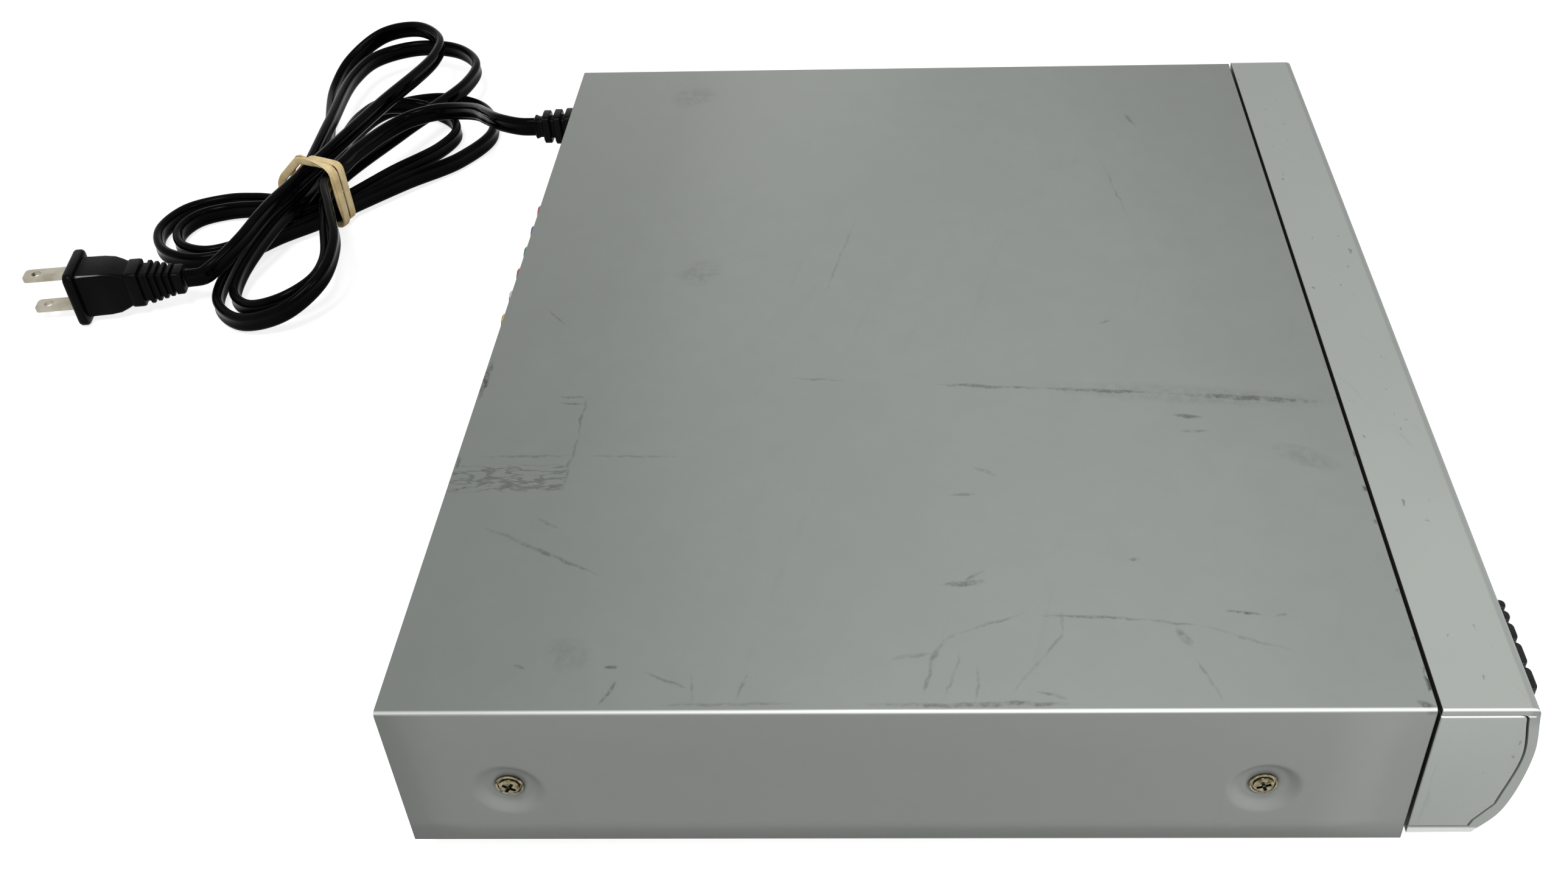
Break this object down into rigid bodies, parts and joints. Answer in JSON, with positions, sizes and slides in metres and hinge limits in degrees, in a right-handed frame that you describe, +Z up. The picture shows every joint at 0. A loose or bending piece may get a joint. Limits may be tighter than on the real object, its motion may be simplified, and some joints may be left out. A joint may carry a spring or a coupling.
{
  "type": "disc player",
  "caption": "Flat tray-loading disc player with a grey steel cover, a curved silver front and a mains lead folded into a banded hank behind it.",
  "frame": {"origin": "under the middle of the player's own box (its mains lead left out), at the soles of the feet", "axes": "+Z up, the front faces -Y, +X to the right seen from the front"},
  "size_m": [0.4215, 0.4569, 0.0535],
  "materials": {
    "cover_paint": "satin grey paint, lightly scuffed",
    "zinc_steel": "zinc-plated sheet",
    "silver_plastic": "silver-painted moulded plastic",
    "smoked_window": "smoked clear plastic",
    "key_plastic": "satin black",
    "foot_rubber": "matt black rubber",
    "screw_steel": "plated steel",
    "circuit_board": "green lacquer",
    "grey_plastic": "moulded",
    "white_plastic": "natural acetal",
    "transformer_core": "varnished core and tape",
    "aluminium": "extruded",
    "chip_plastic": "moulded epoxy",
    "bright_steel": "bright steel",
    "lens_glass": "coated lens",
    "cord_vinyl": "black vinyl, soft gloss",
    "blade_metal": "nickel-plated brass, dulled",
    "band_rubber": "tan rubber"
  },
  "bodies": {
    "player": {"top_cover": "cover_paint", "chassis_base": "zinc_steel", "rear_panel": "zinc_steel", "fascia": "silver_plastic", "end_cap_left": "silver_plastic", "end_cap_right": "silver_plastic", "display_window": "smoked_window", "foot_front_left": "foot_rubber", "foot_front_right": "foot_rubber", "foot_rear_left": "foot_rubber", "foot_rear_right": "foot_rubber", "drive_belt": "foot_rubber", "side_screw_left_front": "screw_steel", "side_screw_left_rear": "screw_steel", "side_screw_right_front": "screw_steel", "side_screw_right_rear": "screw_steel", "rear_screw_left": "screw_steel", "rear_screw_right": "screw_steel", "key_board": "circuit_board", "display_board": "circuit_board", "main_board": "circuit_board", "power_board": "circuit_board", "av_jack_block": "grey_plastic", "filter_capacitor": "grey_plastic", "loader_frame": "grey_plastic", "clamp_bridge": "grey_plastic", "transformer": "transformer_core", "heat_sink": "aluminium", "decoder_chip": "chip_plastic", "loading_motor": "bright_steel", "strain_relief": "cord_vinyl", "cord_lead": "cord_vinyl", "cord_hank": "cord_vinyl", "cord_tail": "cord_vinyl", "plug_body": "cord_vinyl", "plug_blade_upper": "blade_metal", "plug_blade_lower": "blade_metal", "rubber_band": "band_rubber"},
    "tray": {"disc_tray": "grey_plastic", "tray_door": "silver_plastic"},
    "drive_gear": {"drive_gear": "white_plastic"},
    "pulley_gear": {"pulley_gear": "white_plastic"},
    "motor_pulley": {"motor_pulley": "white_plastic"},
    "cam": {"cam_slider": "white_plastic"},
    "traverse": {"traverse_chassis": "zinc_steel", "spindle_motor": "bright_steel", "guide_rod_left": "bright_steel", "guide_rod_right": "bright_steel", "sled_motor": "bright_steel"},
    "turntable": {"turntable": "grey_plastic"},
    "sled": {"pickup_sled": "grey_plastic"},
    "lens": {"objective_lens": "lens_glass"},
    "lead_screw": {"lead_screw": "bright_steel"},
    "puck": {"clamp_puck": "white_plastic"},
    "standby_button": {"standby_button": "key_plastic"},
    "key_1": {"key_1": "key_plastic"},
    "key_2": {"key_2": "key_plastic"},
    "key_3": {"key_3": "key_plastic"},
    "key_4": {"key_4": "key_plastic"},
    "key_5": {"key_5": "key_plastic"}
  },
  "joints": [
    {"name": "tray_slide", "type": "slide", "parent": "player", "child": "tray", "axis": [0, -1, 0], "range_m": [0, 0.135]},
    {"name": "drive_gear_spin", "type": "hinge", "parent": "player", "child": "drive_gear", "pos_m": [-0.04585, -0.09465, 0.024], "axis": [0, 0, 1], "range_deg": [0, 968]},
    {"name": "pulley_gear_spin", "type": "hinge", "parent": "player", "child": "pulley_gear", "pos_m": [-0.0281, -0.09465, 0.024], "axis": [0, 0, 1], "range_deg": [-2580, 0]},
    {"name": "motor_pulley_spin", "type": "hinge", "parent": "player", "child": "motor_pulley", "pos_m": [0.01, -0.09465, 0.022], "axis": [0, 0, 1], "range_deg": [-7330, 0]},
    {"name": "traverse_tilt", "type": "hinge", "parent": "player", "child": "traverse", "pos_m": [0, 0.03535, 0.0195], "axis": [1, 0, 0], "range_deg": [0, 3]},
    {"name": "cam_slide", "type": "slide", "parent": "player", "child": "cam", "axis": [1, 0, 0], "range_m": [0, 0.0181]},
    {"name": "turntable_spin", "type": "hinge", "parent": "traverse", "child": "turntable", "pos_m": [0, -0.06065, 0.035], "axis": [0, 0, 1], "continuous": true},
    {"name": "puck_spin", "type": "hinge", "parent": "player", "child": "puck", "pos_m": [0, -0.06065, 0.045], "axis": [0, 0, 1], "continuous": true},
    {"name": "sled_slide", "type": "slide", "parent": "traverse", "child": "sled", "axis": [0, 1, 0], "range_m": [0, 0.036]},
    {"name": "lead_screw_spin", "type": "hinge", "parent": "traverse", "child": "lead_screw", "pos_m": [0.031, -0.02065, 0.0266], "axis": [0, 1, 0], "range_deg": [0, 4322]},
    {"name": "lens_focus", "type": "slide", "parent": "sled", "child": "lens", "axis": [0, 0, 1], "range_m": [-0.0002, 0.0004], "stiffness_N_per_m": 200},
    {"name": "standby_press", "type": "slide", "parent": "player", "child": "standby_button", "axis": [0, 1, 0], "range_m": [0, 0.0008], "stiffness_N_per_m": 600},
    {"name": "key_1_press", "type": "slide", "parent": "player", "child": "key_1", "axis": [0, 1, 0], "range_m": [0, 0.0008], "stiffness_N_per_m": 500},
    {"name": "key_2_press", "type": "slide", "parent": "player", "child": "key_2", "axis": [0, 1, 0], "range_m": [0, 0.0008], "stiffness_N_per_m": 500},
    {"name": "key_3_press", "type": "slide", "parent": "player", "child": "key_3", "axis": [0, 1, 0], "range_m": [0, 0.0008], "stiffness_N_per_m": 500},
    {"name": "key_4_press", "type": "slide", "parent": "player", "child": "key_4", "axis": [0, 1, 0], "range_m": [0, 0.0008], "stiffness_N_per_m": 500},
    {"name": "key_5_press", "type": "slide", "parent": "player", "child": "key_5", "axis": [0, 1, 0], "range_m": [0, 0.0008], "stiffness_N_per_m": 500}
  ],
  "couplings": [
    {"joint": "drive_gear_spin", "follows": "tray_slide", "rad_per_m": 125},
    {"joint": "pulley_gear_spin", "follows": "tray_slide", "rad_per_m": -333.33},
    {"joint": "motor_pulley_spin", "follows": "tray_slide", "rad_per_m": -947.37},
    {"joint": "cam_slide", "follows": "traverse_tilt", "m_per_rad": 0.34377},
    {"joint": "puck_spin", "follows": "turntable_spin", "ratio": 1},
    {"joint": "lead_screw_spin", "follows": "sled_slide", "rad_per_m": 2094.4}
  ]
}
